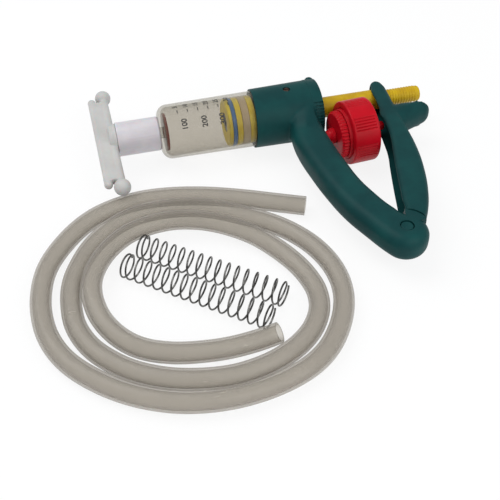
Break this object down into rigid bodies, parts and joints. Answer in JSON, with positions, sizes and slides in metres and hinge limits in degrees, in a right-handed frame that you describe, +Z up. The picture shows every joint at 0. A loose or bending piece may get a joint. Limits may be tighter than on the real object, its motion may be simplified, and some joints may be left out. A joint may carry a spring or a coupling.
{
  "type": "pour-on applicator",
  "caption": "Hand-squeezed dosing applicator with clear barrel, T-shaped spray bar, hinged lever, dose wheel, coiled feed hose and hose springs.",
  "frame": {"origin": "on the floor below the middle of the box round everything but the hose", "axes": "+X along the barrel towards the hose tail, +Y away from the handle, +Z up from the floor"},
  "size_m": [0.2644, 0.2504, 0.0402],
  "materials": {
    "green_moulding": "satin moulded",
    "yellow_moulding": "satin moulded",
    "red_moulding": "satin moulded",
    "white_moulding": "satin moulded",
    "pale_nylon": "translucent",
    "clear_plastic": "clear",
    "blue_rubber": "moulded",
    "brown_rubber": "moulded",
    "spring_steel": "drawn wire",
    "dark_steel": "blackened",
    "hose_pvc": "clear soft"
  },
  "bodies": {
    "frame": {"barrel": "clear_plastic", "front_seal": "brown_rubber", "nozzle_cap": "pale_nylon", "outlet_spring": "spring_steel", "body": "green_moulding", "rear_cap": "green_moulding", "locking_screw": "dark_steel", "pivot_pin": "green_moulding", "return_spring": "spring_steel", "dose_stud": "red_moulding", "feed_hose": "hose_pvc", "hose_spring_a": "spring_steel", "hose_spring_b": "spring_steel"},
    "spray_head": {"spray_bar": "white_moulding"},
    "outlet_check": {"outlet_valve": "pale_nylon"},
    "plunger": {"piston": "yellow_moulding", "piston_ring": "blue_rubber", "guide_ring": "pale_nylon", "piston_rod": "yellow_moulding", "inlet_spring": "spring_steel", "valve_retainer": "spring_steel"},
    "inlet_check": {"inlet_valve": "pale_nylon"},
    "squeeze_lever": {"lever": "green_moulding"},
    "adjuster": {"dose_wheel": "red_moulding", "dose_hub": "red_moulding"},
    "stop": {"stop_pin": "red_moulding"}
  },
  "joints": [
    {"name": "lever_hinge", "type": "hinge", "parent": "frame", "child": "squeeze_lever", "pos_m": [0.04955, -0.07105, 0.0202], "axis": [0, 0, 1], "range_deg": [0, 3.05], "stiffness_Nm_per_rad": 0.8, "springref_deg": -17.19, "deforming": ["return_spring"]},
    {"name": "plunger_slide", "type": "slide", "parent": "frame", "child": "plunger", "axis": [-1, 0, 0], "range_m": [0, 0.00663]},
    {"name": "inlet_valve_lift", "type": "slide", "parent": "plunger", "child": "inlet_check", "axis": [-1, 0, 0], "range_m": [0, 0.001], "stiffness_N_per_m": 60, "springref_m": -0.002, "deforming": ["inlet_spring"]},
    {"name": "outlet_valve_lift", "type": "slide", "parent": "frame", "child": "outlet_check", "axis": [-1, 0, 0], "range_m": [0, 0.002], "stiffness_N_per_m": 60, "springref_m": -0.002, "deforming": ["outlet_spring"]},
    {"name": "spray_head_turn", "type": "hinge", "parent": "frame", "child": "spray_head", "pos_m": [-0.09595, 0.05325, 0.0202], "axis": [1, 0, 0], "range_deg": [-90, 0]},
    {"name": "dose_wheel_turn", "type": "hinge", "parent": "frame", "child": "adjuster", "pos_m": [0.05455, 0.02505, 0.0202], "axis": [0.9976, 0.0698, 0], "range_deg": [0, 720]},
    {"name": "stop_pin_slide", "type": "slide", "parent": "frame", "child": "stop", "axis": [0.9976, 0.0698, 0], "range_m": [-0.0041, 0]}
  ],
  "couplings": [
    {"joint": "plunger_slide", "follows": "lever_hinge", "m_per_rad": 0.1243},
    {"joint": "stop_pin_slide", "follows": "dose_wheel_turn", "m_per_rad": -0.00031831}
  ]
}
